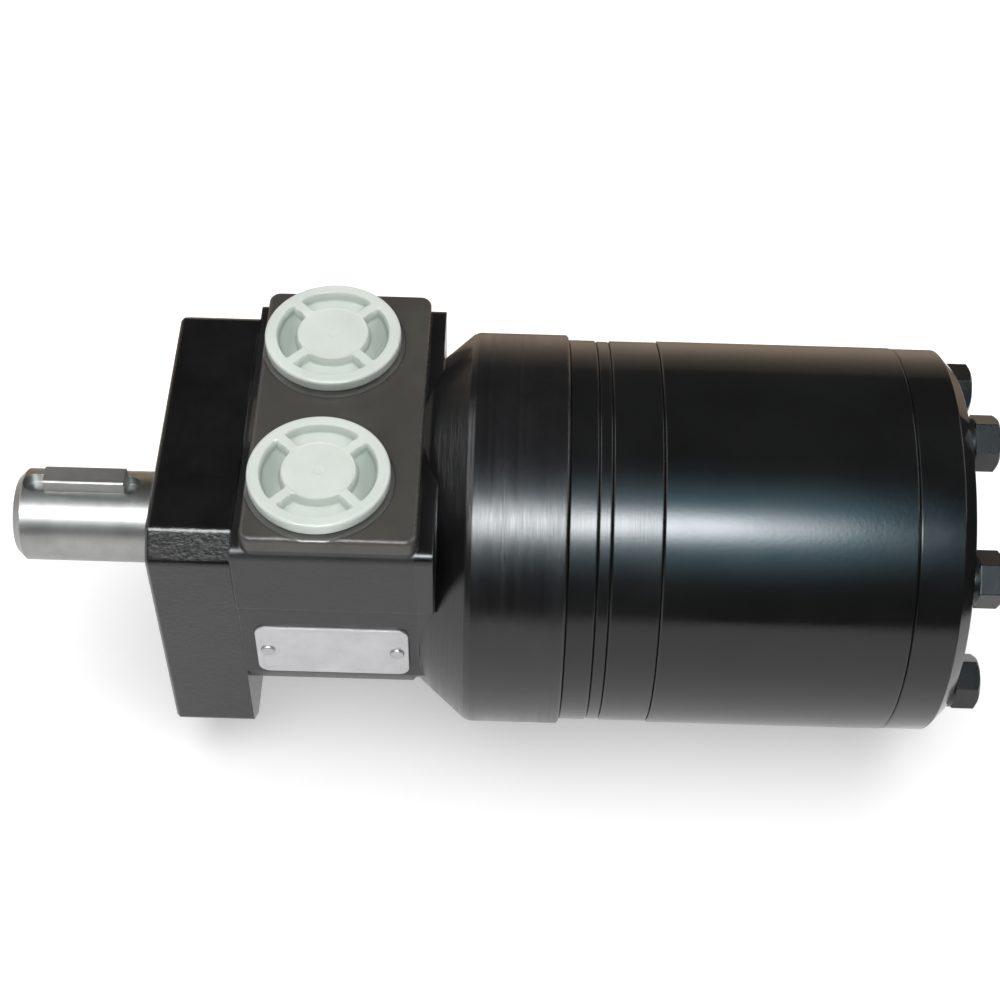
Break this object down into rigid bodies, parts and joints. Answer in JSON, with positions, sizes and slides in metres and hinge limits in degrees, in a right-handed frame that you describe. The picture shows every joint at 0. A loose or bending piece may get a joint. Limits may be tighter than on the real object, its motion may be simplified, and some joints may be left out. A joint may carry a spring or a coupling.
{
  "type": "hydraulic motor",
  "caption": "Orbital hydraulic motor with a square mounting flange, a keyed straight shaft, plugged side ports and a long round gerotor section with a bolted end cover.",
  "frame": {"origin": "on the shaft axis, at the flange's mounting face", "axes": "+X from the mounting face along the body to the end cover, so the shaft points to -X; +Z is the way the ports face, at right angles to the pad they open on; +Y completes the set"},
  "size_m": [0.2611, 0.1072, 0.1072],
  "materials": {
    "painted_body": "satin black paint over cast iron",
    "painted_plates": "gloss black paint over steel",
    "ground_steel": "ground bright steel",
    "key_steel": "drawn key steel",
    "black_fasteners": "black paint and black oxide",
    "black_rubber": "matte nitrile rubber",
    "bearing_steel": "polished hardened steel",
    "cage_steel": "pressed steel",
    "drive_steel": "ground alloy steel",
    "plug_plastic": "milky translucent polyethylene",
    "plate_aluminium": "blank satin foil",
    "rivet_steel": "plain drive pins"
  },
  "bodies": {
    "motor_body": {"housing": "painted_body", "mounting_flange": "painted_body", "flange_screws": "black_fasteners", "dust_seal": "black_rubber", "shaft_seal": "black_rubber", "seal_backup_washer": "bearing_steel", "flange_o_ring": "black_rubber", "thrust_bearing_race": "bearing_steel", "spacer_plate": "painted_plates", "wear_plate": "painted_plates", "distributor_plate": "painted_plates", "gerotor_ring": "painted_plates", "end_cover": "painted_plates", "cover_bolts": "black_fasteners", "cover_washers": "black_fasteners", "body_seal_rings": "black_rubber", "name_plate": "plate_aluminium", "name_plate_rivets": "rivet_steel"},
    "shaft": {"output_shaft": "ground_steel", "shaft_key": "key_steel"},
    "thrust_bearing_cage": {"thrust_needle_cage": "cage_steel", "thrust_needles": "bearing_steel"},
    "orbit_carrier": {"drive_spacer": "drive_steel"},
    "rotor": {"rotor_star": "drive_steel"},
    "link": {"drive_link": "drive_steel"},
    "roll_1_body": {"roll_1": "bearing_steel"},
    "roll_2_body": {"roll_2": "bearing_steel"},
    "roll_3_body": {"roll_3": "bearing_steel"},
    "roll_4_body": {"roll_4": "bearing_steel"},
    "roll_5_body": {"roll_5": "bearing_steel"},
    "roll_6_body": {"roll_6": "bearing_steel"},
    "roll_7_body": {"roll_7": "bearing_steel"},
    "plug_a": {"port_plug_a": "plug_plastic"},
    "plug_b": {"port_plug_b": "plug_plastic"}
  },
  "joints": [
    {"name": "shaft_spin", "type": "hinge", "parent": "motor_body", "child": "shaft", "pos_m": [0, 0, 0], "axis": [1, 0, 0], "continuous": true},
    {"name": "bearing_cage_spin", "type": "hinge", "parent": "motor_body", "child": "thrust_bearing_cage", "pos_m": [0.0188, 0, 0], "axis": [1, 0, 0], "continuous": true},
    {"name": "rotor_orbit", "type": "hinge", "parent": "motor_body", "child": "orbit_carrier", "pos_m": [0.1615, 0, 0], "axis": [1, 0, 0], "continuous": true},
    {"name": "rotor_turn", "type": "hinge", "parent": "orbit_carrier", "child": "rotor", "pos_m": [0.1615, 0, 0.00285], "axis": [1, 0, 0], "continuous": true},
    {"name": "drive_link_turn", "type": "hinge", "parent": "orbit_carrier", "child": "link", "pos_m": [0.066, 0, 0], "axis": [0.9996, 0, 0.0294], "continuous": true},
    {"name": "roll_1_turn", "type": "hinge", "parent": "motor_body", "child": "roll_1_body", "pos_m": [0.1615, -0.01237, 0.02568], "axis": [1, 0, 0], "continuous": true},
    {"name": "roll_2_turn", "type": "hinge", "parent": "motor_body", "child": "roll_2_body", "pos_m": [0.1615, -0.02779, 0.00634], "axis": [1, 0, 0], "continuous": true},
    {"name": "roll_3_turn", "type": "hinge", "parent": "motor_body", "child": "roll_3_body", "pos_m": [0.1615, -0.02228, -0.01777], "axis": [1, 0, 0], "continuous": true},
    {"name": "roll_4_turn", "type": "hinge", "parent": "motor_body", "child": "roll_4_body", "pos_m": [0.1615, 0, -0.0285], "axis": [1, 0, 0], "continuous": true},
    {"name": "roll_5_turn", "type": "hinge", "parent": "motor_body", "child": "roll_5_body", "pos_m": [0.1615, 0.02228, -0.01777], "axis": [1, 0, 0], "continuous": true},
    {"name": "roll_6_turn", "type": "hinge", "parent": "motor_body", "child": "roll_6_body", "pos_m": [0.1615, 0.02779, 0.00634], "axis": [1, 0, 0], "continuous": true},
    {"name": "roll_7_turn", "type": "hinge", "parent": "motor_body", "child": "roll_7_body", "pos_m": [0.1615, 0.01237, 0.02568], "axis": [1, 0, 0], "continuous": true},
    {"name": "plug_a_pull", "type": "slide", "parent": "motor_body", "child": "plug_a", "axis": [0, 0, 1], "range_m": [0, 0.06]},
    {"name": "plug_b_pull", "type": "slide", "parent": "motor_body", "child": "plug_b", "axis": [0, 0, 1], "range_m": [0, 0.06]}
  ],
  "couplings": [
    {"joint": "bearing_cage_spin", "follows": "shaft_spin", "ratio": 0.5},
    {"joint": "rotor_orbit", "follows": "shaft_spin", "ratio": -6},
    {"joint": "rotor_turn", "follows": "shaft_spin", "ratio": 7},
    {"joint": "drive_link_turn", "follows": "shaft_spin", "ratio": 7},
    {"joint": "roll_1_turn", "follows": "shaft_spin", "ratio": -5.098},
    {"joint": "roll_2_turn", "follows": "shaft_spin", "ratio": -5.098},
    {"joint": "roll_3_turn", "follows": "shaft_spin", "ratio": -5.098},
    {"joint": "roll_4_turn", "follows": "shaft_spin", "ratio": -5.098},
    {"joint": "roll_5_turn", "follows": "shaft_spin", "ratio": -5.098},
    {"joint": "roll_6_turn", "follows": "shaft_spin", "ratio": -5.098},
    {"joint": "roll_7_turn", "follows": "shaft_spin", "ratio": -5.098}
  ]
}
